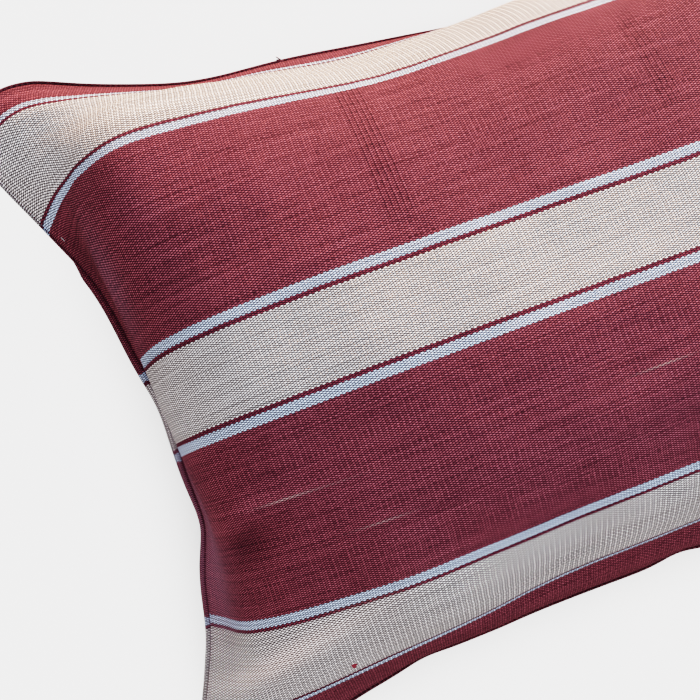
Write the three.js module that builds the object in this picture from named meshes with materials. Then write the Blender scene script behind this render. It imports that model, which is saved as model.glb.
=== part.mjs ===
// A lumbar pillow: two striped cloth panels sewn edge to edge and filled, lying on its back.
// Millimetres, +Z up, +X along the stripes; the resting plane is Z = 0.
// The end with the drawn-in short seam that is seen in close-up points to -X.
import * as THREE from "three";

// Driving dimensions
const clothLength = 600; // flat cloth between the short seams
const clothWidth = 400; // flat cloth between the long seams
const frontCrown = 93; // height of the front above the seam plane
const backCrown = 72; // depth that the back would have if nothing pressed on it
const seamHeight = 62; // seam plane above the resting plane
const endPower = 4.3; // how late the cloth turns down towards a short seam
const sidePower = 2; // the same towards a long seam
const leanAcross = -0.1; // share by which the filling is higher at +Y than in the middle
const seamGather = 0.05; // share by which the stitching draws the short seam at -X together
const gatherReach = 25; // how far into the cloth that goes

// Cloth at the seam
const foldHeight = 2; // rounded edge of each panel beside the stitch line
const foldReach = 6;
const grooveDepth = 1.5; // the stitch line lies this far under the seam plane
const grooveReach = 1;
const lipWidth = 4; // turned edge of the back panel, outside the stitch line
const lipDrop = 5; // its lower side lies this far under the seam plane
const lipReach = 20; // how far under the back the turned edge dies out
const lipCrest = { out: 0.4, rise: 0.3 }; // its upper side: share of its width, and height in mm
const lipRim = { out: 1, rise: -2.2 };

// Corner ears: how far each tip lies above or under the seam plane, and how far in the bend begins
const ears = [
  { end: -1, side: 1, lift: 28, reach: 280 },
  { end: -1, side: -1, lift: -20, reach: 180 },
  { end: 1, side: 1, lift: -6, reach: 200 },
  { end: 1, side: -1, lift: 6, reach: 200 },
];

// Broad swells (above 0) and hollows of the filling, with their places and reaches on the flat cloth
const swells = [
  { along: -270, across: -150, reachAlong: 60, reachAcross: 50, rise: 6 },
  { along: -270, across: 0, reachAlong: 60, reachAcross: 50, rise: 6 },
  { along: -270, across: 75, reachAlong: 60, reachAcross: 50, rise: 5 },
  { along: -270, across: 150, reachAlong: 60, reachAcross: 50, rise: 10 },
  { along: -190, across: -150, reachAlong: 60, reachAcross: 50, rise: -3 },
  { along: -190, across: -75, reachAlong: 60, reachAcross: 50, rise: -6 },
  { along: -190, across: 150, reachAlong: 60, reachAcross: 50, rise: 5 },
  { along: -100, across: -150, reachAlong: 60, reachAcross: 50, rise: -4 },
  { along: -100, across: 0, reachAlong: 60, reachAcross: 50, rise: 4 },
  { along: -100, across: 150, reachAlong: 60, reachAcross: 50, rise: -4 },
  { along: 30, across: -150, reachAlong: 130, reachAcross: 60, rise: -10 },
  { along: 30, across: 150, reachAlong: 130, reachAcross: 60, rise: 4 },
  { along: 270, across: -150, reachAlong: 60, reachAcross: 50, rise: 7 },
  { along: 270, across: 150, reachAlong: 60, reachAcross: 50, rise: 7 },
];
const swellFade = 3; // swells die out where the crown is under a third of its height

// Grid of the cloth
const columns = 53;
const rows = 37;
const edgeGrading = 0.8; // above 0 the stations crowd towards the seams
const slopeSteps = 400; // steps of the running total along a strip
const steepestTurn = 0.95 * Math.PI; // the most that a strip may turn between crown and seam
const turnHalvings = 40; // how finely the turn of a strip is searched for
const netPasses = 8;
const netBlend = 0.7; // share of each new pass that is taken up
const steepSoftness = 0.1; // how gently a thread's run in plan dies out where the cloth stands upright

const maroon = new THREE.MeshStandardMaterial({
  color: 0x7d3038,
  roughness: 0.9,
  metalness: 0,
});

const smooth = (t) => t * t * (3 - 2 * t);
const clamp01 = (t) => Math.min(1, Math.max(0, t));

// Stations from -half to half, closer together near both ends.
function stations(count, half) {
  const turn = (Math.PI / 2) * edgeGrading;
  return Array.from({ length: count }, (_, i) => {
    const s = (2 * i) / (count - 1) - 1;
    return (half * Math.sin(s * turn)) / Math.sin(turn);
  });
}

// Running total of sin(angle * t^power) over t from 0 to 1: the drop of a cloth strip of length 1
// whose slope grows from flat at the crown to angle at the seam.
function dropTable(angle, power) {
  const table = [0];
  let last = 0;
  for (let i = 1; i <= slopeSteps; i++) {
    const next = Math.sin(angle * (i / slopeSteps) ** power);
    table.push(table[i - 1] + (last + next) / 2 / slopeSteps);
    last = next;
  }
  return table;
}

// Height share, 1 at the crown and 0 at the seam, of a strip that drops by height over half its cloth.
function crownProfile(power, height, half) {
  let low = 0;
  let high = steepestTurn;
  for (let i = 0; i < turnHalvings; i++) {
    const middle = (low + high) / 2;
    if (dropTable(middle, power)[slopeSteps] * half < height) low = middle;
    else high = middle;
  }
  const table = dropTable(low, power);
  return (t) => {
    const place = clamp01(t) * slopeSteps;
    const i = Math.min(slopeSteps - 1, Math.floor(place));
    const drop = table[i] + (table[i + 1] - table[i]) * (place - i);
    return 1 - drop / table[slopeSteps];
  };
}

const along = stations(columns, clothLength / 2);
const across = stations(rows, clothWidth / 2);
const makeField = (value) => along.map((a, i) => across.map((b, j) => value(a, b, i, j)));

// Share of the crown's height at each point of the cloth.
const endProfile = crownProfile(endPower, frontCrown, clothLength / 2);
const sideProfile = crownProfile(sidePower, frontCrown, clothWidth / 2);
const crownShare = makeField(
  (a, b) => endProfile(Math.abs(a) / (clothLength / 2)) * sideProfile(Math.abs(b) / (clothWidth / 2)),
);

// Height of the filled front above the seam plane.
const frontHeight = makeField((a, b, i, j) => {
  const share = crownShare[i][j];
  const swell = swells.reduce((sum, place) => {
    const awayAlong = (a - place.along) / place.reachAlong;
    const awayAcross = (b - place.across) / place.reachAcross;
    return sum + place.rise * Math.exp(-(awayAlong ** 2) - awayAcross ** 2);
  }, 0);
  const lean = 1 + (leanAcross * b) / (clothWidth / 2);
  return frontCrown * share * lean + swell * Math.min(1, share * swellFade);
});

// Height of the seam plane over its middle: the corner ears bend up or down.
const earLift = makeField((a, b) =>
  ears.reduce((sum, ear) => {
    const away = Math.hypot(a - (ear.end * clothLength) / 2, b - (ear.side * clothWidth) / 2);
    return sum + ear.lift * smooth(clamp01(1 - away / ear.reach));
  }, 0),
);

// Slopes of a field along the length or across it, between neighbouring stations.
function slopeAlong(field, i, j) {
  const before = Math.max(0, i - 1);
  const after = Math.min(columns - 1, i + 1);
  return (field[after][j] - field[before][j]) / (along[after] - along[before]);
}
function slopeAcross(field, i, j) {
  const before = Math.max(0, j - 1);
  const after = Math.min(rows - 1, j + 1);
  return (field[i][after] - field[i][before]) / (across[after] - across[before]);
}

// Plan of the cloth: both sets of threads keep their length. A thread that climbs or bends sideways
// runs less far in plan, so the seams draw in between the corners. The threads through the middle
// stay straight, and the others are worked out from them in a few passes.
function planOf(height) {
  let sideways = makeField(() => 0); // how far the lengthwise threads bend
  let lengthways = makeField(() => 0); // how far the crosswise threads bend
  let x;
  let y;
  const run = (climb, bend) => {
    const left = 1 - climb ** 2 - bend ** 2;
    return Math.sqrt((left + Math.hypot(left, steepSoftness)) / (1 + Math.hypot(1, steepSoftness)));
  };
  for (let pass = 0; pass < netPasses; pass++) {
    const runX = makeField((a, b, i, j) => run(slopeAlong(height, i, j), sideways[i][j]));
    const runY = makeField((a, b, i, j) => run(slopeAcross(height, i, j), lengthways[i][j]));
    const middleColumn = (columns - 1) / 2;
    const middleRow = (rows - 1) / 2;
    x = makeField(() => 0);
    y = makeField(() => 0);
    for (let j = 0; j < rows; j++) {
      for (let i = middleColumn + 1; i < columns; i++) {
        x[i][j] = x[i - 1][j] + ((runX[i][j] + runX[i - 1][j]) / 2) * (along[i] - along[i - 1]);
      }
      for (let i = middleColumn - 1; i >= 0; i--) {
        x[i][j] = x[i + 1][j] - ((runX[i][j] + runX[i + 1][j]) / 2) * (along[i + 1] - along[i]);
      }
    }
    for (let i = 0; i < columns; i++) {
      for (let j = middleRow + 1; j < rows; j++) {
        y[i][j] = y[i][j - 1] + ((runY[i][j] + runY[i][j - 1]) / 2) * (across[j] - across[j - 1]);
      }
      for (let j = middleRow - 1; j >= 0; j--) {
        y[i][j] = y[i][j + 1] - ((runY[i][j] + runY[i][j + 1]) / 2) * (across[j + 1] - across[j]);
      }
    }
    const blend = pass ? netBlend : 1;
    const mix = (old, now) => makeField((a, b, i, j) => (1 - blend) * old[i][j] + blend * now(i, j));
    sideways = mix(sideways, (i, j) => slopeAlong(y, i, j));
    lengthways = mix(lengthways, (i, j) => slopeAcross(x, i, j));
  }
  return { x, y };
}

const plan = planOf(makeField((a, b, i, j) => frontHeight[i][j] + earLift[i][j]));
plan.y = makeField((a, b, i, j) => {
  const gather = seamGather * Math.exp(-(clothLength / 2 + a) / gatherReach);
  return plan.y[i][j] * (1 - gather);
});

const seamDistance = (a, b) =>
  Math.min(clothLength / 2 - Math.abs(a), clothWidth / 2 - Math.abs(b));
const foldAt = (a, b) => foldHeight * (1 - Math.exp(-seamDistance(a, b) / foldReach));

const seamLevel = makeField((a, b, i, j) => seamHeight + earLift[i][j]);
const frontLevel = makeField((a, b, i, j) => {
  const groove = grooveDepth * Math.exp(-seamDistance(a, b) / grooveReach);
  return seamLevel[i][j] + frontHeight[i][j] + foldAt(a, b) - groove;
});

// The seam loop, counterclockwise from the corner at -X, -Y, as pairs of column and row.
const loop = [];
for (let i = 0; i < columns - 1; i++) loop.push([i, 0]);
for (let j = 0; j < rows - 1; j++) loop.push([columns - 1, j]);
for (let i = columns - 1; i > 0; i--) loop.push([i, rows - 1]);
for (let j = rows - 1; j > 0; j--) loop.push([0, j]);

// Outward direction in plan at each point of the seam loop.
const outward = new Map();
loop.forEach(([i, j], k) => {
  const [iBefore, jBefore] = loop[(k + loop.length - 1) % loop.length];
  const [iAfter, jAfter] = loop[(k + 1) % loop.length];
  const dx = plan.x[iAfter][jAfter] - plan.x[iBefore][jBefore];
  const dy = plan.y[iAfter][jAfter] - plan.y[iBefore][jBefore];
  const length = Math.hypot(dx, dy);
  outward.set(i * rows + j, [dy / length, -dx / length]);
});

// Outward direction for a point inside the cloth: that of the nearest point of the seam.
function outwardAt(i, j) {
  const toSides = [
    { gap: clothLength / 2 + along[i], i: 0, j },
    { gap: clothLength / 2 - along[i], i: columns - 1, j },
    { gap: clothWidth / 2 + across[j], i, j: 0 },
    { gap: clothWidth / 2 - across[j], i, j: rows - 1 },
  ];
  const nearest = toSides.reduce((best, side) => (side.gap < best.gap ? side : best));
  return outward.get(nearest.i * rows + nearest.j);
}

// The back panel: its edge is turned out past the stitch line, and the surface flattens its crown.
const backPoint = (a, b, i, j) => {
  const near = Math.exp(-seamDistance(a, b) / lipReach);
  const [nx, ny] = outwardAt(i, j);
  const level = seamLevel[i][j] - backCrown * crownShare[i][j] - lipDrop * near - foldAt(a, b);
  return [
    plan.x[i][j] + lipWidth * near * nx,
    plan.y[i][j] + lipWidth * near * ny,
    Math.max(0, level),
  ];
};

const points = [];
const add = (point) => points.push(point) - 1;
const front = makeField((a, b, i, j) => add([plan.x[i][j], plan.y[i][j], frontLevel[i][j]]));
const back = makeField((a, b, i, j) => add(backPoint(a, b, i, j)));

// The turned edge between the stitch line and the back panel, as two more rows round the seam loop.
const lipRows = [lipCrest, lipRim].map((row) =>
  loop.map(([i, j]) => {
    const [nx, ny] = outward.get(i * rows + j);
    const x = plan.x[i][j] + row.out * lipWidth * nx;
    const y = plan.y[i][j] + row.out * lipWidth * ny;
    return add([x, y, seamLevel[i][j] + row.rise]);
  }),
);

const faces = [];
const quad = (p, q, r, s) => faces.push(p, q, r, p, r, s);
for (let i = 0; i < columns - 1; i++) {
  for (let j = 0; j < rows - 1; j++) {
    quad(front[i][j], front[i + 1][j], front[i + 1][j + 1], front[i][j + 1]);
    quad(back[i][j + 1], back[i + 1][j + 1], back[i + 1][j], back[i][j]);
  }
}
const rings = [loop.map(([i, j]) => front[i][j]), ...lipRows, loop.map(([i, j]) => back[i][j])];
for (let r = 0; r < rings.length - 1; r++) {
  for (let k = 0; k < loop.length; k++) {
    const next = (k + 1) % loop.length;
    quad(rings[r][next], rings[r][k], rings[r + 1][k], rings[r + 1][next]);
  }
}

// The origin is at the middle of the pillow's outline, on the resting plane.
const box = new THREE.Box3().setFromPoints(points.map((p) => new THREE.Vector3(...p)));
const centre = box.getCenter(new THREE.Vector3());

const cover = new THREE.BufferGeometry();
cover.setAttribute("position", new THREE.Float32BufferAttribute(points.flat(), 3));
cover.setIndex(faces);
cover.translate(-centre.x, -centre.y, 0);
cover.computeVertexNormals();

const filledCover = new THREE.Mesh(cover, maroon);
filledCover.name = "filled_cover";

const pillow = new THREE.Group();
pillow.name = "lumbar_pillow";
pillow.add(filledCover);

export default pillow;
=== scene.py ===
"""Lumbar pillow in striped hand-woven cloth, lying on its back on a pale floor.

The cover is one closed, filled form worked out from its flat cloth: two panels of warp and weft that keep
their length, crowned by the filling and sewn edge to edge. Lengths are metres, in the frame of the solid:
+X along the stripes, +Y across them, +Z up, with the photographed end at -X.
"""

import math
from collections import namedtuple

import bpy
import numpy as np
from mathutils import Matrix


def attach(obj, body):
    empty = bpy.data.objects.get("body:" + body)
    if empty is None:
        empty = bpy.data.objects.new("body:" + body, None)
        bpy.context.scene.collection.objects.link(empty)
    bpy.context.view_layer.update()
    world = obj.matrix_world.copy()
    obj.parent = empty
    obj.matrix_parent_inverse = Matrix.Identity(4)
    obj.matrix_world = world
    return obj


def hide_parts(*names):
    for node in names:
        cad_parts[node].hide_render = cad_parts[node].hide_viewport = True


bl_info = {
    "name": "Striped lumbar pillow",
    "version": (1, 0, 0),
    "blender": (4, 5, 0),
    "location": "3D View > Sidebar > Pillow",
    "description": "Builds a filled pillow in striped hand-woven cloth, with seam, loose threads and stage",
    "category": "Object",
}

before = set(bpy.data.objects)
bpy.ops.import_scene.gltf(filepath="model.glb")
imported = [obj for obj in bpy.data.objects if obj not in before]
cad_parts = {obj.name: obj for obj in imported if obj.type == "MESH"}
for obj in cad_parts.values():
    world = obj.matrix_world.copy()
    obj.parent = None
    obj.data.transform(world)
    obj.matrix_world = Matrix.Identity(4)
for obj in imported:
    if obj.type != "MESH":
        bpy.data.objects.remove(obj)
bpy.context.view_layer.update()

MM = 0.001
SENSOR_WIDTH = 36.0

# Broad swells (above 0) and hollows of the filling, in mm on the flat cloth.
Swell = namedtuple("Swell", "along across rise reach_along reach_across", defaults=(60, 50))
SWELLS = [
    Swell(-270, -150, 6),
    Swell(-270, 0, 6),
    Swell(-270, 75, 5),
    Swell(-270, 150, 10),
    Swell(-190, -150, -3),
    Swell(-190, -75, -6),
    Swell(-190, 150, 5),
    Swell(-100, -150, -4),
    Swell(-100, 0, 4),
    Swell(-100, 150, -4),
    Swell(30, -150, -10, 130, 60),
    Swell(30, 150, 4, 130, 60),
    Swell(270, -150, 7),
    Swell(270, 150, 7),
]

# Corner ears, in mm: which end and side, how far the tip is lifted, and how far in the bend begins.
Ear = namedtuple("Ear", "end side lift reach")
EARS = [
    Ear(-1, 1, 28, 280),
    Ear(-1, -1, -20, 180),
    Ear(1, 1, -6, 200),
    Ear(1, -1, 6, 200),
]

# Soft creases of the cover, in mm on the flat cloth: the middle, half lengths along and across the crease,
# its heading in degrees from the stripes, and its height, below 0 for a hollow.
Crease = namedtuple("Crease", "along across half_length half_width heading rise")
CREASES = [
    Crease(-239, -72, 20, 7, 10, -6.5),
    Crease(-246, -58, 20, 8, 14, 6.5),
    Crease(-262, -88, 20, 9, -5, 1.5),
    Crease(-150, 172, 95, 26, 0, -11),
    Crease(-266, 50, 78, 18, 90, -11),
    Crease(-232, 116, 38, 26, 50, 8),
    Crease(-252, 182, 44, 17, 0, 9),
    Crease(-250, 126, 24, 28, 0, -6.5),
]

# Places where the seam is drawn aside, in mm on the flat cloth: how far each reaches, and how far it lifts
# the seam and moves it outwards.
Tug = namedtuple("Tug", "along across reach lift out")
TUGS = [
    Tug(-290, 200, 11, 3.5, 0),
    Tug(-256, 200, 34, -2.2, 0),
    Tug(-90, 200, 45, -1.2, 0),
    Tug(-300, 78, 34, 0, -1.5),
    Tug(-300, 12, 20, 0, -2.4),
    Tug(-300, -58, 16, 0, -2.2),
    Tug(-300, -98, 24, 0, 2.4),
    Tug(-300, -152, 14, 0, -0.8),
    Tug(-170, -200, 14, 0, -1.5),
    Tug(-22, -200, 14, 0, -2.6),
]

# Width in mm of the back panel's turned edge at places across the photographed end.
LIP_PLACES = [-200, -135, -115, -80, -60, -30, 10, 60, 94, 104, 200]
LIP_WIDTHS = [2.0, 3.0, 3.2, 3.4, 2.8, 3.6, 4.4, 4.4, 4.0, 1.4, 1.2]

# Stripes from the middle of the cloth outwards, as a colour and a count of warp yarns.
Stripe = namedtuple("Stripe", "colour yarns")
STRIPES = [
    Stripe("cream", 37),
    Stripe("plum", 4),
    Stripe("blue", 8),
    Stripe("burgundy", 169),
    Stripe("blue", 8),
    Stripe("plum", 3),
    Stripe("cream", 74),
    Stripe("plum", 4),
    Stripe("blue", 4),
    Stripe("burgundy", 63),
]

# Thick pale places in single warp yarns, in mm on the flat cloth, and how pale, from 0 to 1.
Slub = namedtuple("Slub", "along across half_length half_width paleness")
SLUBS = [
    Slub(-209, -54.5, 12, 0.5, 0.95),
    Slub(-190, -54.9, 18, 0.4, 0.25),
    Slub(-169, -78.6, 11, 0.45, 0.7),
    Slub(-29, -55.2, 11, 0.45, 0.75),
]

# Places painted darker (below 0), as painted shade in hollows and on slopes turned from the light, or paler,
# as painted light on folds that catch it, in mm on the flat cloth: the middle, half lengths along and across
# the place, its heading in degrees from the stripes, and how much.
PaintedSpot = namedtuple("PaintedSpot", "along across half_length half_width heading change")
PAINTED_LIGHT_AND_SHADE = [
    PaintedSpot(-240, -70, 18, 7.5, 13, -0.47),
    PaintedSpot(-257, -57, 13, 9, 10, 0.32),
    PaintedSpot(-226, -51, 22, 4, 2, 0.2),
    PaintedSpot(-258, -22, 22, 18, 0, 0.12),
    PaintedSpot(-243, -135, 46, 6.5, 15, 0.6),
    PaintedSpot(-285, -118, 22, 10, 0, -0.10),
    PaintedSpot(-292, 98, 11, 24, 0, -0.3),
]

# Places where a painted sheen, on steep cloth beside the seam, and painted highlights, on ridges that catch
# the light, veil the yarns with a colour of their own; "change" is how thick the veil is.
PaintedSheen = namedtuple("PaintedSheen", "shade spot")
PAINTED_SHEEN = [
    PaintedSheen((0.88, 0.46, 0.62), PaintedSpot(-287, -58, 20, 64, 0, 0.42)),
    PaintedSheen((0.60, 0.35, 0.48), PaintedSpot(-259, 72, 9, 28, 0, 0.22)),
    PaintedSheen((1.9, 1.3, 1.1), PaintedSpot(-243, -135, 46, 7, 15, 0.42)),
]

# Crosswise places where every second weft was beaten in hard, in mm on the flat cloth.
Beaten = namedtuple("Beaten", "start end low high")
BEATEN = [
    Beaten(-119.5, -107.0, 47, 126),
    Beaten(18.5, 28.0, 55, 114),
]

# How much each kind of unevenness changes the brightness of burgundy and plum yarns, and of pale ones.
Weight = namedtuple("Weight", "dark pale")
UNEVENNESS = {
    "float": Weight(0.45, 0.2),  # one crossing of the yarns
    "yarn": Weight(0.3, 0.3),  # one whole warp yarn
    "pick": Weight(0.1, 0.1),  # one whole weft yarn
    "streak": Weight(1.7, 1.7),  # a bundle of warp yarns
    "length": Weight(0.3, 0.3),  # a stretch of one warp yarn
    "patch": Weight(0.1, 0.1),  # an area of the cloth
    "grain": Weight(0.3, 0.15),  # fibre
    "thick": Weight(0.5, 0.15),  # where a yarn is spun thick
    "reed": Weight(0.12, 0.34),  # pairs of yarns that one slot of the reed held
}
# The same for light and dark between neighbouring wefts. On pale yarns it grows by OUTER_WEFTS over
# OUTER_FADE, from where the wider spacing begins.
WEFTS = Weight(0.12, 0.14)
OUTER_WEFTS = 0.26
OUTER_FADE = 5 * MM
# Brightness of a float at its flanks, what its crest adds, its gain in all, and its share of unevenness. The
# flanks and crest paint shade and highlight on the weave's relief.
FLANK = Weight(0.5, 0.45)
CREST = Weight(0.85, 1.0)
GAIN = Weight(1.0, 1.64)
LIVELINESS = Weight(1.0, 0.65)
# How far the floats close over the weft, where 0 leaves half of the cloth to the pits, and how much further
# they close at the long seams.
CLOSING = Weight(0.42, 0.39)
HEM_CLOSING = 0.3
# Brightness between two wefts, and what the rise over a weft adds to it: painted shade and light on the ribs.
BETWEEN_WEFTS, ON_WEFTS = 0.72, 0.35
BEATEN_DARKNESS = 0.6
SLUB_SHADE = (0.85, 0.48, 0.46)

# Smooth steps: where each starts and ends, and its value at both. All but the last go over the flat cloth;
# that one goes over the share of open sky.
Step = namedtuple("Step", "start end first last")
# Painted shade on the cloth beside the long seams, where the edge rolls over, and on the turned edge at the
# short seams, under the seam.
SIDE_HEM_PAINTED_SHADE = Step(190 * MM, 200 * MM, 1.0, 0.78)
END_HEM_PAINTED_SHADE = Step(299.5 * MM, 301 * MM, 1.0, 0.62)
SIDE_HEM_RELIEF = Step(197 * MM, 201 * MM, 1.0, 0.12)
NARROWING = Step(-220 * MM, 40 * MM, 0.0, 1.0)
FLOOR_SHADE = Step(0.35, 0.82, 0.2, 1.0)

# Warp yarns, counted from the middle stripe, beyond which they are coarser on the near and the far side.
NEAR_COARSE = -226
FAR_COARSE = 50


def length(name, description, default):
    """A property for a length, given in mm and kept in metres."""
    return bpy.props.FloatProperty(
        name=name,
        description=description,
        default=default * MM,
        subtype="DISTANCE",
        unit="LENGTH",
        precision=5,
    )


def number(name, description, default):
    """A property for a plain number."""
    return bpy.props.FloatProperty(name=name, description=description, default=default)


def colour(name, description, default):
    """A property for a colour; above 1 it is brighter than white, as a bleached yarn in cool light."""
    return bpy.props.FloatVectorProperty(
        name=name, description=description, default=default, size=3, min=0.0, max=1.5, subtype="COLOR"
    )


class PillowSizes(bpy.types.PropertyGroup):
    """Sizes of the cut cloth and of the filled form."""

    cloth_length: length("Cloth length", "Flat cloth between the short seams", 600)
    cloth_width: length("Cloth width", "Flat cloth between the long seams", 400)
    front_crown: length("Front crown", "Height of the front above the seam", 93)
    back_crown: length("Back crown", "Depth that the back would have if nothing pressed on it", 72)
    seam_height: length("Seam height", "Seam above the floor", 62)
    end_power: number("End power", "How late the cloth turns down towards a short seam", 4.3)
    side_power: number("Side power", "How late the cloth turns down towards a long seam", 2.0)
    lean_across: number("Lean", "Share by which the filling is higher at +Y", -0.1)
    seam_gather: number("Gather", "Share by which the stitching draws the short seam together", 0.05)
    gather_reach: length("Gather reach", "How far into the cloth the gathering goes", 25)
    fold_height: length("Fold height", "Rounded edge of each panel beside the stitch line", 2)
    fold_reach: length("Fold reach", "How far the rounded edge goes into the panel", 6)
    groove_depth: length("Groove depth", "How far the stitch line lies under the seam plane", 1.5)
    groove_reach: length("Groove reach", "Half width of the groove", 1)
    lip_drop: length("Turned edge drop", "Lower side of the turned edge, under the seam plane", 5)
    lip_reach: length("Turned edge reach", "How far under the back the turned edge dies out", 20)
    long_lip: length("Turned edge on the long sides", "Width of the turned edge there", 1.6)
    columns: bpy.props.IntProperty(name="Columns", description="Stations along the cloth", default=241)
    rows: bpy.props.IntProperty(name="Rows", description="Stations across the cloth", default=161)


class ClothLook(bpy.types.PropertyGroup):
    """Yarns and colours of the cloth."""

    warp_pitch: length("Warp pitch", "Spacing of the yarns along the stripes", 0.535)
    outer_pitch: length("Outer warp pitch", "Spacing of those yarns beyond the outer blue lines", 0.65)
    outer_start: length("Outer start", "Where the wider spacing begins, from the middle of the pattern", 121)
    weft_pitch: length("Weft pitch", "Spacing of the yarns across the stripes", 1.35)
    pattern_shift: length("Pattern shift", "How far the middle stripe lies from the middle of the cloth", 7.5)
    back_shift: length("Back shift", "How far the back panel's stripes miss the front's", -1.5)
    narrowing: number("Narrowing", "Share by which the stripes draw together away from the short seam", 0.024)
    coarser_near: number("Coarser near yarns", "Share by which the near outer yarns are thicker", 0.15)
    coarser_far: number("Coarser far yarns", "Share by which the yarns of the far half are thicker", 0.09)
    warp_wander: length("Warp wander", "How far the warp yarns stray sideways", 0.45)
    weft_wander: length("Weft wander", "How far the weft yarns stray sideways", 1.3)
    burgundy: colour("Burgundy", "Burgundy warp yarn", (0.445, 0.112, 0.138))
    plum: colour("Plum", "Dark warp yarn of the thin lines", (0.26, 0.055, 0.080))
    cream: colour("Cream", "Cream warp yarn", (0.95, 0.86, 0.83))
    blue: colour("Blue", "Pale blue warp yarn", (0.80, 0.93, 1.18))
    # The weft colours are the weft's own dark colour, darkened further by painted shade in the pits between
    # floats.
    weft: colour("Weft", "Dark weft in the pits between burgundy yarns", (0.036, 0.004, 0.015))
    pale_weft: colour("Weft under pale yarns", "Weft in the pits between cream yarns", (0.035, 0.02, 0.024))


class StageLook(bpy.types.PropertyGroup):
    """Floor, light and camera."""

    floor_size: length("Floor size", "Side of the floor", 8000)
    floor_colour: colour("Floor colour", "Pale floor", (0.5, 0.5, 0.5))
    floor_glow: number("Floor glow", "Light that the floor shows of its own, as a lit table does", 1.85)
    key_power: number("Key power", "Warm light from the far right, in watts", 112.0)
    key_heading: number("Key heading", "Where the warm light stands, in degrees from +X towards +Y", 62.0)
    key_rise: number("Key rise", "Its height over the horizon, in degrees", 14.0)
    side_power: number("Side power", "Cooler light from the right, in watts", 34.0)
    top_power: number("Top power", "Soft light from above, in watts", 20.0)
    left_power: number("Left power", "Soft light from the near left, in watts", 4.0)
    shade_reach: length("Shade reach", "How near the pillow has to be to shade the floor's glow", 90)
    dome_strength: number("Dome strength", "Even light from all round", 0.497)
    lens: number("Lens", "Focal length in mm on a 36 mm sensor", 46.29)


def smooth(t):
    """Cubic step from 0 to 1 that is level at both ends."""
    t = np.clip(t, 0.0, 1.0)
    return t * t * (3.0 - 2.0 * t)


def stations(count, half, grading=0.8):
    """Places from -half to half that crowd towards both ends: half * sin(s * turn) / sin(turn)."""
    turn = math.pi / 2 * grading
    return half * np.sin(np.linspace(-1.0, 1.0, count) * turn) / math.sin(turn)


def crown_profile(power, height, half, distance, points=401, halvings=40):
    """Height share, 1 at the crown and 0 at the seam, at distances from the middle of a cloth strip.

    The strip's slope angle grows as turn * t ** power from crown to seam, and turn is found by halving so
    that the running total of its sine over the half strip is the height.
    """
    steps = np.linspace(0.0, 1.0, points)

    def drop(turn):
        slope = np.sin(turn * steps**power)
        return np.concatenate([[0.0], np.cumsum((slope[1:] + slope[:-1]) / 2 * np.diff(steps))])

    low, high = 0.0, 0.95 * math.pi
    for _ in range(halvings):
        middle = (low + high) / 2
        if drop(middle)[-1] * half < height:
            low = middle
        else:
            high = middle
    table = drop(low)
    return 1.0 - np.interp(np.abs(distance) / half, steps, table / table[-1])


def from_middle(rate, places, axis):
    """Running total of a rate over its places, counted from the middle station."""
    step = np.diff(places)
    rate = np.moveaxis(rate, axis, 0)
    total = np.zeros_like(rate)
    total[1:] = np.cumsum((rate[1:] + rate[:-1]) / 2 * step[:, None], axis=0)
    total -= total[len(places) // 2]
    return np.moveaxis(total, 0, axis)


def plan_of(along, across, height, passes=8, blend=0.7, softness=0.1):
    """Plan of the cloth under a height field, with both sets of threads keeping their length.

    A thread's run in plan for each unit of cloth is sqrt(1 - climb^2 - bend^2), softened where the cloth
    stands upright. x is the running total of the lengthwise run and y of the crosswise run; the sideways
    bends come from the pass before.
    """
    climb_x = np.gradient(height, along, axis=0)
    climb_y = np.gradient(height, across, axis=1)
    bend_x = np.zeros_like(height)
    bend_y = np.zeros_like(height)

    def run(climb, bend):
        left = 1.0 - climb**2 - bend**2
        return np.sqrt((left + np.hypot(left, softness)) / (1.0 + math.hypot(1.0, softness)))

    for turn in range(passes):
        x = from_middle(run(climb_x, bend_x), along, 0)
        y = from_middle(run(climb_y, bend_y), across, 1)
        part = blend if turn else 1.0
        bend_x = (1 - part) * bend_x + part * np.gradient(y, along, axis=0)
        bend_y = (1 - part) * bend_y + part * np.gradient(x, across, axis=1)
    return x, y


def crease_heights(a, b):
    """Sum of the creases: each a Gaussian ridge or hollow, long along its heading and narrow across it."""
    total = np.zeros_like(a)
    for crease in CREASES:
        heading = math.radians(crease.heading)
        da, db = a - crease.along * MM, b - crease.across * MM
        on = (da * math.cos(heading) + db * math.sin(heading)) / (crease.half_length * MM)
        off = (db * math.cos(heading) - da * math.sin(heading)) / (crease.half_width * MM)
        total += crease.rise * MM * np.exp(-(on**2) - off**2)
    return total


def ripples(a, b, seed, count, wavelength):
    """Sum of sine waves in random directions, about 1 high, with wavelengths near the one given."""
    random = np.random.default_rng(seed)
    total = np.zeros_like(a)
    for _ in range(count):
        heading = random.uniform(0, math.pi)
        wave = 2 * math.pi / (wavelength * random.uniform(0.7, 1.5))
        phase = random.uniform(0, 2 * math.pi)
        total += np.sin(wave * (a * math.cos(heading) + b * math.sin(heading)) + phase)
    return total / math.sqrt(count)


def seam_loop(columns, rows):
    """Column and row indices of the seam, counterclockwise from the corner at -X, -Y."""
    last_i, last_j = columns - 1, rows - 1
    i = [np.arange(last_i), np.full(last_j, last_i), np.arange(last_i, 0, -1), np.zeros(last_j, int)]
    j = [np.zeros(last_i, int), np.arange(last_j), np.full(last_i, last_j), np.arange(last_j, 0, -1)]
    return np.concatenate(i), np.concatenate(j)


def lip_width(sizes, a, b, end_reach=30 * MM):
    """Width of the turned edge: from the table at the -X end, and narrower round the other sides."""
    at_end = np.interp(b / MM, LIP_PLACES, LIP_WIDTHS) * MM
    near_end = smooth(1.0 - (a + sizes.cloth_length / 2) / end_reach)
    return sizes.long_lip + (at_end - sizes.long_lip) * near_end


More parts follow.
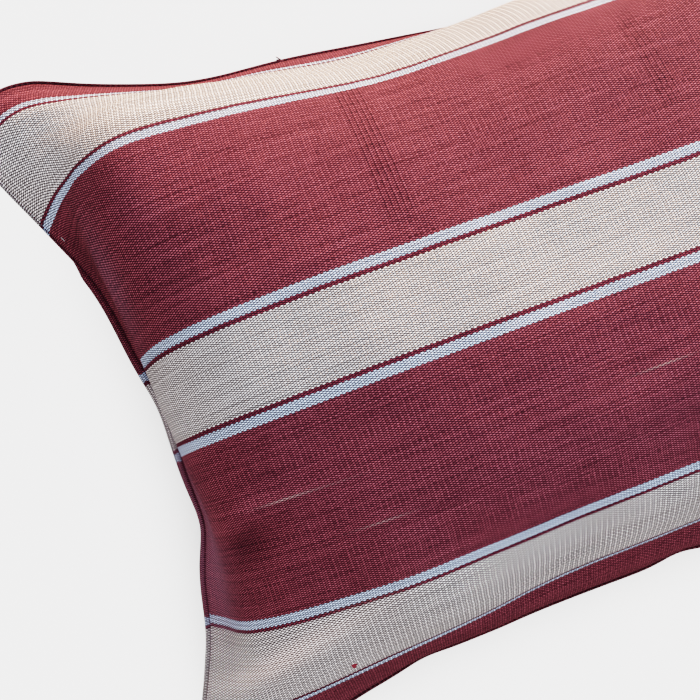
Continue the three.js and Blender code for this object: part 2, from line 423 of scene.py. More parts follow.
class CoverShape:
    """The filled form as two grids of points, front and back, and the rows of the turned edge between."""

    # How far in from the seam these reach: the tugs, the band without creases, and the corners' blend.
    tug_reach = 15 * MM
    calm_reach = 12 * MM
    corner_reach = 6 * MM
    # How softly the back bends where it meets the floor.
    floor_softness = 2 * MM

    def __init__(self, sizes):
        self.sizes = sizes
        half_a, half_b = sizes.cloth_length / 2, sizes.cloth_width / 2
        self.along = stations(sizes.columns, half_a)
        self.across = stations(sizes.rows, half_b)
        a, b = np.meshgrid(self.along, self.across, indexing="ij")
        self.a, self.b = a, b
        self.edge = np.minimum(half_a - np.abs(a), half_b - np.abs(b))
        self.crown = (
            crown_profile(sizes.end_power, sizes.front_crown, half_a, self.along)[:, None]
            * crown_profile(sizes.side_power, sizes.front_crown, half_b, self.across)[None, :]
        )
        self.lift = np.zeros_like(a)
        for ear in EARS:
            away = np.hypot(a - ear.end * half_a, b - ear.side * half_b)
            self.lift += ear.lift * MM * smooth(1.0 - away / (ear.reach * MM))
        nearness = []
        for tug in TUGS:
            away = np.hypot(a - tug.along * MM, b - tug.across * MM)
            nearness.append(np.exp(-((away / (tug.reach * MM)) ** 2)))
        self.lift += sum(tug.lift * MM * near for tug, near in zip(TUGS, nearness))
        height = self.front_height()
        self.x, self.y = plan_of(self.along, self.across, height + self.lift)
        self.y *= 1.0 - sizes.seam_gather * np.exp(-(half_a + a) / sizes.gather_reach)
        self.height = height + self.fine_height()
        self.outward = self.outward_field()
        push = sum(tug.out * MM * near for tug, near in zip(TUGS, nearness))
        push = push * np.exp(-self.edge / self.tug_reach)
        self.x = self.x + push * self.outward[..., 0]
        self.y = self.y + push * self.outward[..., 1]
        reach = np.concatenate([self.back(), self.front()]).reshape(-1, 3)
        middle = (reach[:, :2].min(0) + reach[:, :2].max(0)) / 2
        self.x -= middle[0]
        self.y -= middle[1]

    def front_height(self):
        """Height over the seam plane: crown share times crown height, leaning across, plus the swells, which
        fade where the crown share is under a third.
        """
        sizes = self.sizes
        total = np.zeros_like(self.a)
        for swell in SWELLS:
            da = (self.a / MM - swell.along) / swell.reach_along
            db = (self.b / MM - swell.across) / swell.reach_across
            total += swell.rise * MM * np.exp(-(da**2) - db**2)
        lean = 1.0 + sizes.lean_across * self.b / (sizes.cloth_width / 2)
        return sizes.front_crown * self.crown * lean + total * np.minimum(1.0, 3.0 * self.crown)

    def fine_height(self):
        """Creases and the small unevenness of a hand-filled cover, dying out at the seam."""
        a, b = self.a, self.b
        inside = 1.0 - np.exp(-self.edge / self.calm_reach)
        broad = 0.5 * MM * ripples(a, b, seed=3, count=9, wavelength=60 * MM)
        fine = 0.12 * MM * ripples(a, b, seed=5, count=12, wavelength=14 * MM)
        return (crease_heights(a, b) + broad + fine) * inside

    def outward_field(self):
        """Outward direction in plan: the seam's own normals, blended inwards by nearness to each side."""
        x, y = self.x, self.y
        sides = []
        for line_x, line_y, gap, axis in (
            (x[0], y[0], self.a - self.along[0], 0),
            (x[-1], y[-1], self.along[-1] - self.a, 0),
            (x[:, 0], y[:, 0], self.b - self.across[0], 1),
            (x[:, -1], y[:, -1], self.across[-1] - self.b, 1),
        ):
            dx, dy = np.gradient(line_x), np.gradient(line_y)
            run = np.hypot(dx, dy)
            normal = np.stack([dy / run, -dx / run], -1)
            middle = len(line_x) // 2
            if normal[middle] @ np.array([line_x[middle], line_y[middle]]) < 0:
                normal = -normal
            normal = normal[None, :, :] if axis == 0 else normal[:, None, :]
            sides.append((np.exp(-gap / self.corner_reach)[..., None], normal))
        total = sum(weight * normal for weight, normal in sides)
        return total / np.maximum(np.linalg.norm(total, axis=-1, keepdims=True), 1e-9)

    def front(self):
        """Front panel: seam level, filled height, the rounded fold beside the stitches and the groove."""
        sizes = self.sizes
        fold = sizes.fold_height * (1.0 - np.exp(-self.edge / sizes.fold_reach))
        groove = sizes.groove_depth * np.exp(-self.edge / sizes.groove_reach)
        return np.stack([self.x, self.y, sizes.seam_height + self.lift + self.height + fold - groove], -1)

    def back(self):
        """Back panel: its crown hangs under the seam and is pressed flat by the floor, z + hypot(z, soft)."""
        sizes = self.sizes
        near = np.exp(-self.edge / sizes.lip_reach)
        fold = sizes.fold_height * (1.0 - np.exp(-self.edge / sizes.fold_reach))
        level = sizes.seam_height + self.lift - sizes.back_crown * self.crown - sizes.lip_drop * near - fold
        level = (level + np.hypot(level, self.floor_softness)) / 2
        out = lip_width(sizes, self.a, self.b) * near
        return np.stack([self.x + out * self.outward[..., 0], self.y + out * self.outward[..., 1], level], -1)

    def on_front(self, a, b):
        """Points of the front panel at places on the flat cloth, between the grid's own points."""
        i = np.interp(a, self.along, np.arange(len(self.along)))
        j = np.interp(b, self.across, np.arange(len(self.across)))
        i0 = np.minimum(i.astype(int), len(self.along) - 2)
        j0 = np.minimum(j.astype(int), len(self.across) - 2)
        u, v = (i - i0)[:, None], (j - j0)[:, None]
        grid = self.front()
        near = grid[i0, j0] * (1 - u) + grid[i0 + 1, j0] * u
        far = grid[i0, j0 + 1] * (1 - u) + grid[i0 + 1, j0 + 1] * u
        return near * (1 - v) + far * v

    def lip(self, out, rise):
        """One row of the turned edge round the seam: a share of its width out, and a height in metres."""
        i, j = seam_loop(*self.a.shape)
        width = lip_width(self.sizes, self.a[i, j], self.b[i, j])
        outward = self.outward[i, j]
        level = self.sizes.seam_height + self.lift[i, j] + rise
        x, y = self.x[i, j] + out * width * outward[:, 0], self.y[i, j] + out * width * outward[:, 1]
        return np.stack([x, y, level], -1)


def grid_faces(ids):
    """Quads of a grid of vertex ids, facing up where columns run along +X and rows along +Y."""
    return np.stack([ids[:-1, :-1], ids[1:, :-1], ids[1:, 1:], ids[:-1, 1:]], -1).reshape(-1, 4)


def ring_faces(upper, lower):
    """Quads between two rings of vertex ids that run counterclockwise, facing out."""
    return np.stack([np.roll(upper, -1), upper, lower, np.roll(lower, -1)], -1)


def tubes(paths, radius, sides=5, blunt=0.15):
    """Round tubes, closed at both ends, along paths given as tube x step x point.

    Each ring is path + radius * taper * (cos(turn) * side + sin(turn) * up), with side and up square to the
    path, and the taper, sqrt(1 - (2t - 1) ** 8) but not under sqrt(blunt), rounds off the ends. A pole
    closes each end.
    """
    count, steps, _ = paths.shape
    ahead = np.gradient(paths, axis=1)
    ahead /= np.linalg.norm(ahead, axis=-1, keepdims=True)
    side = np.cross(ahead, [0.0, 0.0, 1.0])
    side /= np.maximum(np.linalg.norm(side, axis=-1, keepdims=True), 1e-6)
    up = np.cross(side, ahead)
    turn = np.arange(sides) * 2 * math.pi / sides
    t = np.linspace(0.0, 1.0, steps)
    taper = np.sqrt(np.maximum(1.0 - (2 * t - 1) ** 8, blunt))
    cosine, sine = np.cos(turn)[:, None], np.sin(turn)[:, None]
    rings = cosine * side[:, :, None, :] + sine * up[:, :, None, :]
    rings = paths[:, :, None, :] + radius * taper[:, None, None] * rings
    poles = np.stack([paths[:, 0] - ahead[:, 0] * radius / 2, paths[:, -1] + ahead[:, -1] * radius / 2], 1)
    points = np.concatenate([rings.reshape(-1, 3), poles.reshape(-1, 3)])
    ids = np.arange(count * steps * sides).reshape(count, steps, sides)
    after = np.roll(ids, -1, axis=2)
    quads = np.stack([ids[:, :-1], ids[:, 1:], after[:, 1:], after[:, :-1]], -1).reshape(-1, 4)
    ends = np.arange(count * 2).reshape(count, 2, 1) + count * steps * sides
    first = np.stack([ids[:, 0], after[:, 0], np.broadcast_to(ends[:, 0], ids[:, 0].shape)], -1)
    last = np.stack([after[:, -1], ids[:, -1], np.broadcast_to(ends[:, 1], ids[:, 0].shape)], -1)
    return points, [*quads.tolist(), *first.reshape(-1, 3).tolist(), *last.reshape(-1, 3).tolist()]


def make_mesh(name, points, faces):
    """A smooth mesh object from an array of points and a list or an array of faces."""
    mesh = bpy.data.meshes.new(name)
    mesh.from_pydata(points.tolist(), [], faces if isinstance(faces, list) else faces.tolist())
    mesh.shade_smooth()
    piece = bpy.data.objects.new(name, mesh)
    bpy.context.scene.collection.objects.link(piece)
    return piece


class Value:
    """One node socket. Sums, products and powers of values add their own Math nodes."""

    def __init__(self, tree, socket):
        self.tree = tree
        self.socket = socket

    def _math(self, operation, *terms):
        return add_node(self.tree, "ShaderNodeMath", {"operation": operation}, dict(enumerate(terms)))

    def __add__(self, other):
        return self._math("ADD", self, other)

    def __radd__(self, other):
        return self._math("ADD", other, self)

    def __sub__(self, other):
        return self._math("SUBTRACT", self, other)

    def __rsub__(self, other):
        return self._math("SUBTRACT", other, self)

    def __mul__(self, other):
        return self._math("MULTIPLY", self, other)

    def __truediv__(self, other):
        return self._math("DIVIDE", self, other)

    def __pow__(self, other):
        return self._math("POWER", self, other)

    def apply(self, operation, *terms):
        return self._math(operation, self, *terms)

    def clamped(self):
        return add_node(self.tree, "ShaderNodeClamp", {}, {"Value": self})


def add_node(tree, kind, settings, inputs, output=0):
    """Adds a node: its settings first, then a value or a link for each named or numbered input."""
    node = tree.nodes.new(kind)
    for key, value in settings.items():
        if key == "stops":
            ramp = node.color_ramp
            for place, shade in value[2:]:
                ramp.elements.new(place).color = shade
            for element, (place, shade) in zip((ramp.elements[0], ramp.elements[-1]), (value[0], value[1])):
                element.position, element.color = place, shade
        elif key == "interpolation" and kind == "ShaderNodeValToRGB":
            node.color_ramp.interpolation = value
        else:
            setattr(node, key, value)
    connect(tree, node, inputs)
    return Value(tree, node.outputs[output])


def connect(tree, node, inputs):
    """Gives each named or numbered input of a node its link or its plain value."""
    for key, value in inputs.items():
        if isinstance(value, Value):
            tree.links.new(value.socket, node.inputs[key])
        else:
            node.inputs[key].default_value = value


def mix(tree, factor, low, high, blend="MIX"):
    """Colour mix: low where the factor is 0 and high where it is 1."""
    settings = {"data_type": "RGBA", "blend_type": blend}
    return add_node(tree, "ShaderNodeMix", settings, {0: factor, 6: rgba(low), 7: rgba(high)}, output=2)


def rgba(shade):
    """A plain colour with its alpha; a value stays as it is."""
    return shade if isinstance(shade, Value) else (*shade[:3], 1.0)


def vector(tree, x, y, z):
    """Three values as one vector, or as one colour."""
    return add_node(tree, "ShaderNodeCombineXYZ", {}, {0: x, 1: y, 2: z})


def noise(tree, place, detail=2.0, roughness=0.5):
    """Noise from 0 to 1, about 0.5, with features one unit of place across."""
    inputs = {"Vector": place, "Scale": 1.0, "Detail": detail, "Roughness": roughness}
    return add_node(tree, "ShaderNodeTexNoise", {}, inputs)


def piece_noise(tree, scale):
    """Noise fixed to the piece, with so many features to the metre along each axis."""
    place = add_node(tree, "ShaderNodeTexCoord", {}, {}, output=3)
    return noise(tree, add_node(tree, "ShaderNodeMapping", {}, {"Vector": place, "Scale": scale}))


def random_of(tree, number, seed):
    """A steady random number from 0 to 1 for each whole number."""
    return add_node(tree, "ShaderNodeTexWhiteNoise", {"noise_dimensions": "1D"}, {"W": number + seed})


def new_material(name):
    """A material with its shader, and the tree that holds it."""
    material = bpy.data.materials.new(name)
    material.use_nodes = True
    return material, material.node_tree


def set_finish(tree, inputs):
    """Gives the material's shader its links and its plain numbers."""
    connect(tree, tree.nodes["Principled BSDF"], inputs)


def eased(tree, value, step):
    """Smooth step between two places of a value, level beyond both."""
    inputs = {"From Min": step.start, "From Max": step.end, "To Min": step.first, "To Max": step.last}
    inputs["Value"] = value
    return add_node(tree, "ShaderNodeMapRange", {"interpolation_type": "SMOOTHSTEP"}, inputs)


def window(tree, value, low, high, soft):
    """1 between low and high and 0 outside, with soft edges."""
    rise = eased(tree, value, Step(low - soft, low + soft, 0.0, 1.0))
    fall = eased(tree, value, Step(high + soft, high - soft, 0.0, 1.0))
    return rise * fall


def spot(along, across, place):
    """Gaussian spot, 1 at its middle, with half lengths along and across its heading."""
    heading = math.radians(getattr(place, "heading", 0.0))
    cosine, sine = math.cos(heading), math.sin(heading)
    da, db = along - place.along * MM, across - place.across * MM
    on = (da * cosine + db * sine) / (place.half_length * MM)
    off = (db * cosine - da * sine) / (place.half_width * MM)
    return ((on * on + off * off) * -1.0).apply("EXPONENT")


def beaten_lines(tree, along, across, pitch):
    """Dark lines between every second weft, in the beaten places: cos(pi * run / pitch) above 0, squared."""
    total = 0.0
    for place in BEATEN:
        line = ((along - place.start * MM) * (math.pi / pitch)).apply("COSINE").apply("MAXIMUM", 0.0) ** 2
        inside = window(tree, along, (place.start - 1) * MM, place.end * MM, 1 * MM)
        inside = inside * window(tree, across, place.low * MM, place.high * MM, 6 * MM)
        total = line * inside + total
    return total


def stripe_ramp(tree, place, colours, starts):
    """Colours that change abruptly at their starts."""
    stops = list(zip(starts, colours))
    settings = {"stops": [stops[0], stops[-1], *stops[1:-1]], "interpolation": "CONSTANT"}
    return add_node(tree, "ShaderNodeValToRGB", settings, {"Fac": place})


def stripes(tree, count, look):
    """Warp colour by the yarn count from the middle, and a mask that is 1 on the dark yarns."""
    total = sum(stripe.yarns for stripe in STRIPES)
    starts, counted = [], 0
    for stripe in STRIPES:
        starts.append(max(0.0, (counted - 0.5) / total))
        counted += stripe.yarns
    place = count / total
    colours = [rgba(getattr(look, stripe.colour)) for stripe in STRIPES]
    dark = [rgba([float(stripe.colour in ("burgundy", "plum"))] * 3) for stripe in STRIPES]
    return stripe_ramp(tree, place, colours, starts), stripe_ramp(tree, place, dark, starts)


def striped_cloth(look):
    """Warp-faced plain weave read from the cover's own cloth coordinates.

    A warp yarn lies over the weft where cos(pi * yarn) * cos(pi * pick) is above 0 and under it elsewhere;
    yarn and pick count warp and weft yarns from the middle. The stripes are a ramp over the yarn count.
    """
    material, tree = new_material("striped_cloth")
    place = add_node(tree, "ShaderNodeAttribute", {"attribute_name": "cloth"}, {}, output=1)
    parts = [add_node(tree, "ShaderNodeSeparateXYZ", {}, {0: place}, output=k) for k in range(3)]
    along, across, panel = parts
    back = panel.apply("GREATER_THAN", 0.5)
    front = 1.0 - back
    from_middle_line = across.apply("ABSOLUTE")

    drawn = 1.0 - eased(tree, along, NARROWING) * look.narrowing
    pattern = (across - look.pattern_shift - back * look.back_shift) / drawn

    def cloth_noise(long, wide, layer, detail=2.0, roughness=0.5):
        """Noise on the cloth, with features so many mm long and wide; each layer is another pattern."""
        cell = vector(tree, along / (long * MM), pattern / (wide * MM), layer)
        return noise(tree, cell, detail, roughness)

    # The wider spacing beyond the outer blue lines is taken out first, so that yarns count evenly.
    beyond = pattern.apply("ABSOLUTE") - look.outer_start
    outer = (beyond / OUTER_FADE).clamped()
    beyond = beyond.apply("MAXIMUM", 0.0) * (1.0 - look.warp_pitch / look.outer_pitch)
    even = pattern - beyond * pattern.apply("SIGN")
    yarn = (even + (cloth_noise(9, 6, back, detail=3.0) - 0.5) * look.warp_wander) / look.warp_pitch
    pick = (along + (cloth_noise(30, 7, back + 7.0, detail=3.0) - 0.5) * look.weft_wander) / look.weft_pitch
    warp, dark = stripes(tree, (yarn + 0.5).apply("FLOOR").apply("ABSOLUTE"), look)
    pale = 1.0 - dark
    coarse_near = (yarn - NEAR_COARSE).apply("MINIMUM", 0.0) * look.coarser_near
    coarse_far = (yarn - FAR_COARSE).apply("MAXIMUM", 0.0) * look.coarser_far
    yarn = yarn - coarse_near - coarse_far
    yarn_number = (yarn + 0.5).apply("FLOOR")
    pick_number = (pick + 0.5).apply("FLOOR")

    def yarn_noise(long, apart, layer):
        """Noise along each warp yarn, with features so many mm long, and neighbours so far apart in it."""
        return noise(tree, vector(tree, along / (long * MM), yarn_number * apart, layer))

    def by_shade(weight):
        """A weight that changes from its dark to its pale value with the yarn's own colour."""
        return weight.dark if weight.dark == weight.pale else weight.dark + pale * (weight.pale - weight.dark)

    # Relief of the weave, which flattens at the long seams.
    inner = eased(tree, from_middle_line, SIDE_HEM_RELIEF)
    weft_wave = (pick * math.pi).apply("COSINE")
    over = (yarn * math.pi).apply("COSINE") * weft_wave * inner
    crest = over.apply("MAXIMUM", 0.0) ** 1.5
    rib = weft_wave.apply("ABSOLUTE")

    # Hand-spun yarn: every float, yarn and pick has its own brightness, with streaks along the stripes.
    place = vector(tree, yarn_number, pick_number, back)
    float_tone = add_node(tree, "ShaderNodeTexWhiteNoise", {"noise_dimensions": "3D"}, {"Vector": place})
    kinds = {
        "float": float_tone - 0.5,
        "yarn": random_of(tree, yarn_number, seed=11.0) - 0.5,
        "pick": random_of(tree, pick_number, seed=5.0) - 0.5,
        "streak": cloth_noise(60, 1.2, back, detail=3.0, roughness=0.6) - 0.5,
        "length": yarn_noise(16, 0.61, back) - 0.5,
        "patch": cloth_noise(60, 30, back + 5.0) - 0.5,
        "grain": cloth_noise(1.7, 1.2, back + 3.0, roughness=0.7) - 0.5,
        "thick": ((yarn_noise(22, 3.7, back + 9.0) - 0.6) * 5.0).clamped(),
        "reed": (yarn * (math.pi / 2)).apply("COSINE"),
    }
    uneven = sum(part * by_shade(UNEVENNESS[kind]) for kind, part in kinds.items())
    uneven = uneven + weft_wave * (by_shade(WEFTS) + pale * outer * OUTER_WEFTS)
    beaten = beaten_lines(tree, along, across, look.weft_pitch) * front
    tone = 1.0 + uneven * by_shade(LIVELINESS) - beaten * BEATEN_DARKNESS

    # Painted shade beside the seams.
    painted_hem_shade = eased(tree, from_middle_line, SIDE_HEM_PAINTED_SHADE) * eased(tree, along.apply("ABSOLUTE"), END_HEM_PAINTED_SHADE)
    # Painted shade in hollows and on slopes turned from the light, and painted light on folds that catch it.
    painted_light_and_shade = sum(spot(along, across, place) * place.change for place in PAINTED_LIGHT_AND_SHADE) * front
    # The crest and rib terms paint shade and highlight on the weave's relief.
    bright = tone * (by_shade(FLANK) + crest * by_shade(CREST)) * by_shade(GAIN)
    bright = bright * (BETWEEN_WEFTS + rib * ON_WEFTS) * painted_hem_shade * (1.0 + painted_light_and_shade)

    slub = sum(spot(along, across, place) * place.paleness for place in SLUBS).clamped()
    lit = mix(tree, 1.0, warp, vector(tree, bright, bright, bright), "MULTIPLY")
    lit = mix(tree, slub * (over * 2.0 + 0.7).clamped(), lit, SLUB_SHADE)
    # Painted sheen beside the seam and painted highlights on ridges, mixed over the yarns.
    for sheen_place in PAINTED_SHEEN:
        lit = mix(tree, spot(along, across, sheen_place.spot) * sheen_place.spot.change, lit, sheen_place.shade)
    # Pits: the weft's own colour with painted shade.
    under = mix(tree, dark, look.pale_weft, look.weft)
    closing = by_shade(CLOSING) + (1.0 - inner) * HEM_CLOSING
    cloth = mix(tree, (over * 3.0 + closing).clamped(), under, lit)
    height = over * 0.5 + rib * 0.3 + slub
    bump = add_node(tree, "ShaderNodeBump", {}, {"Strength": 0.8, "Distance": 0.3 * MM, "Height": height})
    set_finish(tree, {"Base Color": cloth, "Normal": bump, "Roughness": 0.85, "Specular IOR Level": 0.15})
    return material


def thread_material(name, shade, roughness):
    """Spun thread: fine fibres in colour and bump, with painted shade leaving them 0.6 as bright in their
    valleys.
    """
    material, tree = new_material(name)
    grain = piece_noise(tree, (4000, 4000, 9000))
    tone = mix(tree, grain, [c * 0.6 for c in shade], shade)
    bump = add_node(tree, "ShaderNodeBump", {}, {"Strength": 0.4, "Distance": 0.05 * MM, "Height": grain})
    set_finish(tree, {"Base Color": tone, "Normal": bump, "Roughness": roughness})
    return material


def floor_material(look):
    """Pale smooth surface whose painted glow stands in for its lighting, and dims to a painted shadow where
    the pillow hangs close over it.
    """
    material, tree = new_material("pale_floor")
    tone = mix(tree, piece_noise(tree, (6, 6, 6)), [c * 0.995 for c in look.floor_colour], look.floor_colour)
    inputs = {"Distance": look.shade_reach}
    free = add_node(tree, "ShaderNodeAmbientOcclusion", {"samples": 12}, inputs, output=1)
    # Painted shadow: the glow dims where little open sky reaches the floor beside the pillow.
    glow = eased(tree, free, FLOOR_SHADE)
    glow = {"Emission Color": vector(tree, glow, glow, glow), "Emission Strength": look.floor_glow}
    set_finish(tree, {"Base Color": tone, "Roughness": 1.0, "Specular IOR Level": 0.0, **glow})
    return material


def aim(piece, place, target):
    """Stands a lamp at a place and points its -Z at the target."""
    away = np.subtract(place, target)
    tilt = math.atan2(math.hypot(away[0], away[1]), away[2])
    piece.location = place
    piece.rotation_euler = (tilt, 0.0, math.atan2(away[0], -away[1]))


class PILLOW_OT_cover(bpy.types.Operator):
    """Builds the filled cover: front panel, turned edge and back panel as one closed form"""

    bl_idname = "pillow.cover"
    bl_label = "Filled cover"

    # Rows of the turned edge between the stitch line and the back panel: share of its width, height in mm.
    lip_rows = ((0.08, -0.9), (0.22, -0.1), (0.45, 0.3), (0.75, -0.1), (0.95, -1.2), (1.04, -2.8))

    def execute(self, context):
        scene = context.scene
        shape = CoverShape(scene.pillow_sizes)
        a, b = shape.a, shape.b
        columns, rows = a.shape
        i, j = seam_loop(columns, rows)
        count = columns * rows
        front_ids = np.arange(count).reshape(columns, rows)
        lips = [shape.lip(out, rise * MM) for out, rise in self.lip_rows]
        ring_ids = [front_ids[i, j]]
        start = count
        for row in lips:
            ring_ids.append(np.arange(start, start + len(row)))
            start += len(row)
        back_ids = np.arange(start, start + count).reshape(columns, rows)
        ring_ids.append(back_ids[i, j])

        points = np.concatenate([shape.front().reshape(-1, 3), *lips, shape.back().reshape(-1, 3)])
        faces = [grid_faces(front_ids), grid_faces(back_ids)[:, ::-1]]
        faces += [ring_faces(upper, lower) for upper, lower in zip(ring_ids[:-1], ring_ids[1:])]
        cover = make_mesh("pillow_cover", points, np.concatenate(faces))

        # Cloth coordinates of each point: along, across, and 0 on the front panel or 1 on the back one.
        seam_a, seam_b = a[i, j], b[i, j]
        over_end = np.abs(seam_a) >= np.abs(shape.along[0]) - 1e-6
        places = [np.stack([a, b, np.zeros_like(a)], -1).reshape(-1, 3)]
        for out, _ in self.lip_rows:
            beyond = out * lip_width(scene.pillow_sizes, seam_a, seam_b)
            lip_a = seam_a + np.where(over_end, np.sign(seam_a) * beyond, 0.0)
            lip_b = seam_b + np.where(over_end, 0.0, np.sign(seam_b) * beyond)
            places.append(np.stack([lip_a, lip_b, np.ones(len(i))], -1))
        places.append(np.stack([a, b, np.ones_like(a)], -1).reshape(-1, 3))
        cloth = cover.data.attributes.new("cloth", "FLOAT_VECTOR", "POINT")
        cloth.data.foreach_set("vector", np.concatenate(places).astype(np.float32).ravel())

        cover.data.materials.append(striped_cloth(scene.pillow_cloth))
        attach(cover, "root")
        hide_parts("filled_cover")
        return {"FINISHED"}


def thread_piece(name, points, faces, shade):
    """A piece of spun thread that rides with the pillow."""
    piece = make_mesh(name, points, faces)
    piece.data.materials.append(thread_material(name, shade, 0.8))
    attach(piece, "root")


class PILLOW_OT_seam(bpy.types.Operator):
    """Sews the stitches that lie in the groove between the front panel and the turned edge"""

    bl_idname = "pillow.seam"
    bl_label = "Seam stitches"

    # In mm: from stitch to stitch, a stitch's length, thickness and arch, and how deep it lies.
    pitch = 3.0
    stitch = 2.3
    thickness = 0.5
    arch = 0.35
    depth = -1.0
    # Share of the turned edge's width that the line of stitches stands out, and points along a stitch.
    out = 0.05
    steps = 5
    shade = (0.12, 0.022, 0.042)

    def execute(self, context):
        shape = CoverShape(context.scene.pillow_sizes)
        line = shape.lip(self.out, self.depth * MM)
        line = np.concatenate([line, line[:1]])
        run = np.concatenate([[0.0], np.cumsum(np.linalg.norm(np.diff(line, axis=0), axis=1))])
        count = int(run[-1] / (self.pitch * MM))
        starts = np.arange(count) * run[-1] / count
        t = np.linspace(0.0, 1.0, self.steps)
        places = starts[:, None] + t * self.stitch * MM
        paths = np.stack([np.interp(places, run, line[:, k], period=run[-1]) for k in range(3)], -1)
        paths[..., 2] += self.arch * MM * np.sin(math.pi * t)
        thread_piece("seam_stitches", *tubes(paths, self.thickness * MM / 2), self.shade)
        return {"FINISHED"}


class PILLOW_OT_loose(bpy.types.Operator):
    """Adds the loose thread ends: a tuft at the far seam, a red one and a pale one on the cloth"""

    bl_idname = "pillow.loose"
    bl_label = "Loose threads"

    # Place on the flat cloth, heading of the ends in degrees, their count, length and thickness in mm.
    Tuft = namedtuple("Tuft", "name along across heading count length thickness shade")
    tufts = (
        Tuft("far_tuft", -131, 199.3, 175, 9, 5.0, 0.7, (0.12, 0.012, 0.03)),
        Tuft("red_fleck", -206.5, -156.5, 20, 6, 2.8, 1.0, (0.36, 0.03, 0.05)),
        Tuft("pale_fleck", -296, 116.6, -60, 2, 3.5, 0.3, (0.85, 0.82, 0.80)),
    )

    # Each end differs: how far it fans out and how far it curls in a third of its length, in radians, its
    # share of the length, and its rise as a share of that, along so much of a sine arch.
    fan = 0.9
    curl = 0.35
    shortest = 0.6
    rise = (0.05, 0.25)
    arch = 0.75
    # Height of the root over the cloth, as a share of the thickness.
    stand = 0.4

    def execute(self, context):
        shape = CoverShape(context.scene.pillow_sizes)
        random = np.random.default_rng(12)
        t = np.linspace(0.0, 1.0, 9)
        for tuft in self.tufts:
            root = shape.on_front(np.array([tuft.along * MM]), np.array([tuft.across * MM]))[0]
            heading = math.radians(tuft.heading) + random.uniform(-self.fan, self.fan, tuft.count)
            reach = tuft.length * MM * random.uniform(self.shortest, 1.0, tuft.count)
            curl = random.uniform(-self.curl, self.curl, tuft.count)
            turned = heading[:, None] + curl[:, None] * 3.0 * t
            step = reach[:, None] / (len(t) - 1)
            x = root[0] + np.cumsum(np.cos(turned) * step, axis=1)
            y = root[1] + np.cumsum(np.sin(turned) * step, axis=1)
            rise = (random.uniform(*self.rise, tuft.count) * reach)[:, None] * np.sin(math.pi * self.arch * t)
            z = root[2] + tuft.thickness * MM * self.stand + rise
            paths = np.stack([x, y, z], -1)
            thread_piece(tuft.name, *tubes(paths, tuft.thickness * MM / 2), tuft.shade)
        return {"FINISHED"}


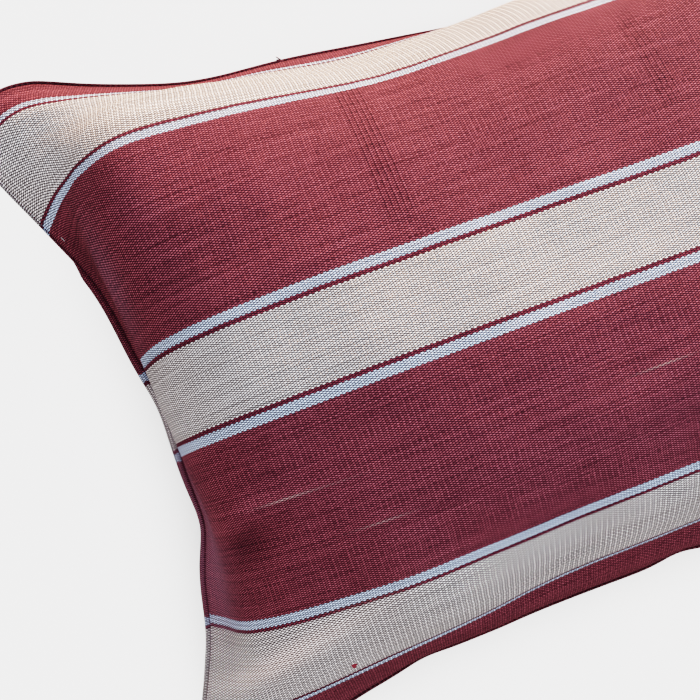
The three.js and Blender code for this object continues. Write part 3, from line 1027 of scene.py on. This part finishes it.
class PILLOW_OT_stage(bpy.types.Operator):
    """Adds the floor, the lights and the camera at the photograph's viewing angle"""

    bl_idname = "pillow.stage"
    bl_label = "Stage"

    # The camera's place in mm, its turn in degrees, and the gap in mm between the cover and the floor.
    camera_place = (-183.8, -34.3, 544.8)
    camera_turn = (5.776, -2.068, -20.17)
    floor_gap = 0.2
    # The point in metres that the lamps face, and the tints of the key, side, left and top lamps.
    lamp_target = (0.0, 0.0, 0.05)
    lamp_tints = ((1.0, 0.62, 0.384), (0.576, 0.833, 1.0), (0.92, 0.96, 1.0), (0.624, 0.82, 1.0))
    dome_colour = (1.0, 0.95, 0.943)

    # Soft square lamps: side and distance in metres, heading from +X towards +Y and height over the horizon
    # in degrees.
    Lamp = namedtuple("Lamp", "name power size distance heading rise tint")

    def lamp(self, wanted):
        """Square lamp that stands in its own direction and points at the pillow."""
        light = bpy.data.lights.new(wanted.name, "AREA")
        light.energy = wanted.power
        light.size = wanted.size
        light.color = wanted.tint
        piece = bpy.data.objects.new(wanted.name, light)
        bpy.context.scene.collection.objects.link(piece)
        heading, rise = math.radians(wanted.heading), math.radians(wanted.rise)
        away = (math.cos(heading) * math.cos(rise), math.sin(heading) * math.cos(rise), math.sin(rise))
        aim(piece, [wanted.distance * c for c in away], self.lamp_target)
        return piece

    def execute(self, context):
        scene = context.scene
        look = scene.pillow_stage
        half = look.floor_size / 2
        low = -self.floor_gap * MM
        corners = np.array([[-half, -half, low], [half, -half, low], [half, half, low], [-half, half, low]])
        floor = make_mesh("pale_floor", corners, [[0, 1, 2, 3]])
        floor.data.materials.append(floor_material(look))

        key_tint, side_tint, left_tint, top_tint = self.lamp_tints
        lamps = (
            self.Lamp("key_light", look.key_power, 0.7, 2.2, look.key_heading, look.key_rise, key_tint),
            self.Lamp("side_light", look.side_power, 0.7, 2.2, 25.0, 35.0, side_tint),
            self.Lamp("left_light", look.left_power, 0.9, 2.2, -125.0, 30.0, left_tint),
            self.Lamp("top_light", look.top_power, 2.0, 2.4, 0.0, 88.0, top_tint),
        )
        # The floor's glow reaches only the floor, and the lamps leave the floor out.
        floor_only = bpy.data.collections.new("floor_only")
        floor_only.objects.link(floor)
        floor.light_linking.receiver_collection = floor_only
        no_floor = bpy.data.collections.new("no_floor")
        no_floor.objects.link(floor)
        no_floor.collection_objects[0].light_linking.link_state = "EXCLUDE"
        for wanted in lamps:
            self.lamp(wanted).light_linking.receiver_collection = no_floor
        scene.view_settings.view_transform = "Filmic"
        scene.view_settings.look = "High Contrast"

        world = bpy.data.worlds.new("soft_studio")
        world.use_nodes = True
        background = world.node_tree.nodes["Background"]
        background.inputs["Color"].default_value = (*self.dome_colour, 1.0)
        background.inputs["Strength"].default_value = look.dome_strength
        scene.world = world

        camera = bpy.data.objects.new("camera", bpy.data.cameras.new("camera"))
        camera.data.lens = look.lens
        camera.data.sensor_width = SENSOR_WIDTH
        camera.data.clip_start = 10 * MM
        camera.location = [c * MM for c in self.camera_place]
        camera.rotation_euler = [math.radians(c) for c in self.camera_turn]
        scene.collection.objects.link(camera)
        scene.camera = camera
        return {"FINISHED"}


class PILLOW_PT_panel(bpy.types.Panel):
    """Lists the pillow's pieces in the sidebar"""

    bl_idname = "PILLOW_PT_panel"
    bl_label = "Striped lumbar pillow"
    bl_space_type = "VIEW_3D"
    bl_region_type = "UI"
    bl_category = "Pillow"

    def draw(self, context):
        for operator in OPERATORS:
            self.layout.operator(operator.bl_idname)


OPERATORS = (PILLOW_OT_cover, PILLOW_OT_seam, PILLOW_OT_loose, PILLOW_OT_stage)
GROUPS = {"pillow_sizes": PillowSizes, "pillow_cloth": ClothLook, "pillow_stage": StageLook}


def register():
    for kind in (*GROUPS.values(), *OPERATORS, PILLOW_PT_panel):
        bpy.utils.register_class(kind)
    for name, group in GROUPS.items():
        setattr(bpy.types.Scene, name, bpy.props.PointerProperty(type=group))


def unregister():
    for name in GROUPS:
        delattr(bpy.types.Scene, name)
    for kind in reversed((*GROUPS.values(), *OPERATORS, PILLOW_PT_panel)):
        bpy.utils.unregister_class(kind)


def main():
    register()
    bpy.ops.pillow.cover()
    bpy.ops.pillow.seam()
    bpy.ops.pillow.loose()
    bpy.ops.pillow.stage()


if __name__ == "__main__":
    main()
